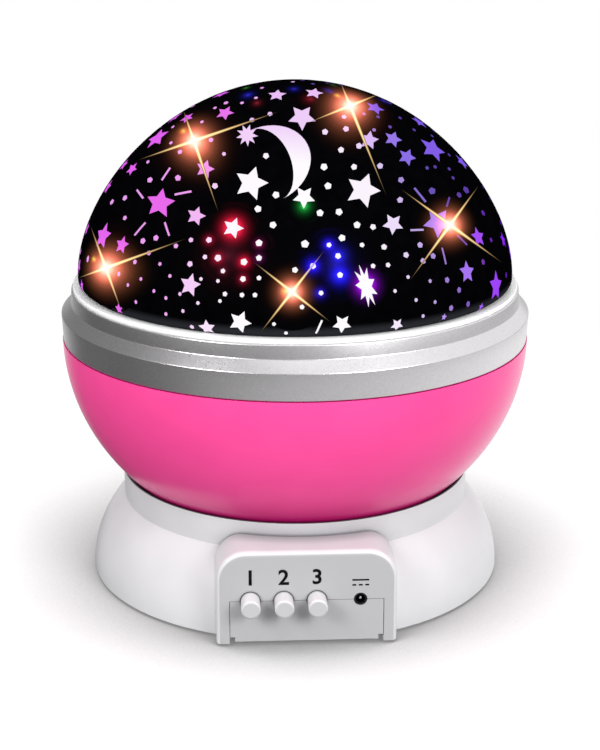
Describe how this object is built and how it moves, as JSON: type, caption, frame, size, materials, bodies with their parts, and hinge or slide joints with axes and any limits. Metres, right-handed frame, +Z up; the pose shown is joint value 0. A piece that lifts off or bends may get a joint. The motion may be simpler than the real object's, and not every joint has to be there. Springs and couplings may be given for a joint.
{
  "type": "star night light projector",
  "caption": "Round table night light: a star-printed dome and bowl turn on a bell-shaped base with a control panel.",
  "frame": {"origin": "centre of the base, on the surface that the feet stand on", "axes": "+Z up along the turning axis; the control panel faces -Y; +X to the right of someone facing the panel"},
  "size_m": [0.125, 0.1251, 0.1331],
  "materials": {
    "white_abs": "moulded white ABS, satin gloss",
    "lip_white": "moulded white ABS, gloss",
    "pink_abs": "moulded pink ABS, gloss",
    "silver_paint": "satin silver paint on ABS",
    "printed_film": "black printed film with star pattern",
    "reflector_white": "moulded white",
    "inner_abs": "moulded white",
    "soft_rubber": "moulded rubber",
    "foam": "dense foam",
    "screw_steel": "bright zinc and nickel plated steel",
    "bracket_steel": "pressed and plated steel",
    "motor_nickel": "satin nickel",
    "pinion_brass": "turned brass",
    "gear_acetal": "natural acetal",
    "cell_jacket": "plain printed jacket",
    "board_green": "solder mask",
    "switch_black": "moulded black",
    "plunger_red": "moulded red",
    "chip_black": "moulded black",
    "led_warm": "clear epoxy",
    "led_red": "tinted epoxy",
    "led_green": "tinted epoxy",
    "led_blue": "tinted epoxy",
    "lead_black": "flexible insulation"
  },
  "bodies": {
    "base": {"base_shell": "white_abs", "base_plate": "white_abs", "base_screws": "screw_steel", "rubber_feet": "soft_rubber", "aaa_cells": "cell_jacket", "cell_springs": "screw_steel", "cell_contacts": "screw_steel", "switch_board": "board_green", "board_screws": "screw_steel", "push_switches": "switch_black", "control_chip": "switch_black", "dc_jack": "switch_black", "dc_jack_pin": "screw_steel", "motor_can": "motor_nickel", "motor_bracket": "bracket_steel", "bracket_screws": "screw_steel", "gear_pin": "screw_steel", "thrust_washer": "screw_steel", "lamp_post": "inner_abs", "post_screws": "screw_steel", "led_holder": "reflector_white", "led_board": "board_green", "led_screws": "screw_steel", "led_warm": "led_warm", "led_red": "led_red", "led_green": "led_green", "led_blue": "led_blue", "led_resistors": "chip_black", "battery_leads": "lead_black", "motor_leads": "lead_black", "lamp_cable": "lead_black"},
    "rotor": {"bowl": "pink_abs", "trim_ring": "silver_paint", "reflector_plate": "reflector_white", "reflector_screws": "screw_steel", "drive_gear": "gear_acetal", "retaining_clip": "screw_steel"},
    "compound": {"compound_gear": "gear_acetal"},
    "motor_rotor": {"motor_shaft": "screw_steel", "motor_pinion": "pinion_brass"},
    "dome_seat": {"dome_gasket": "foam"},
    "dome": {"star_dome": "printed_film", "dome_collar": "lip_white", "film_retainer": "reflector_white"},
    "night_light_key": {"night_light_button": "white_abs", "night_light_plunger": "plunger_red"},
    "colour_key": {"colour_button": "white_abs", "colour_plunger": "plunger_red"},
    "rotation_key": {"rotation_button": "white_abs", "rotation_plunger": "plunger_red"},
    "door": {"battery_door": "white_abs", "door_screw": "screw_steel"}
  },
  "joints": [
    {"name": "bowl_spin", "type": "hinge", "parent": "base", "child": "rotor", "pos_m": [0, 0, 0.024], "axis": [0, 0, 1], "continuous": true},
    {"name": "compound_gear_spin", "type": "hinge", "parent": "base", "child": "compound", "pos_m": [-0.00711, -0.01955, 0.018], "axis": [0, 0, 1], "continuous": true},
    {"name": "motor_pinion_spin", "type": "hinge", "parent": "base", "child": "motor_rotor", "pos_m": [-0.0166, -0.02405, 0.017], "axis": [0, 0, 1], "continuous": true},
    {"name": "dome_twist", "type": "hinge", "parent": "rotor", "child": "dome_seat", "pos_m": [0, 0, 0.0794], "axis": [0, 0, 1], "range_deg": [-25, 0]},
    {"name": "dome_lift", "type": "slide", "parent": "dome_seat", "child": "dome", "axis": [0, 0, 1], "range_m": [0, 0.04]},
    {"name": "night_light_press", "type": "slide", "parent": "base", "child": "night_light_key", "axis": [0, 1, 0], "range_m": [0, 0.0015], "stiffness_N_per_m": 400},
    {"name": "colour_press", "type": "slide", "parent": "base", "child": "colour_key", "axis": [0, 1, 0], "range_m": [0, 0.0015], "stiffness_N_per_m": 400},
    {"name": "rotation_press", "type": "slide", "parent": "base", "child": "rotation_key", "axis": [0, 1, 0], "range_m": [0, 0.0015], "stiffness_N_per_m": 400},
    {"name": "battery_door_drop", "type": "slide", "parent": "base", "child": "door", "axis": [0, 0, -1], "range_m": [0, 0.03]}
  ],
  "couplings": [
    {"joint": "compound_gear_spin", "follows": "bowl_spin", "ratio": -3.3333},
    {"joint": "motor_pinion_spin", "follows": "bowl_spin", "ratio": 8.3333}
  ]
}
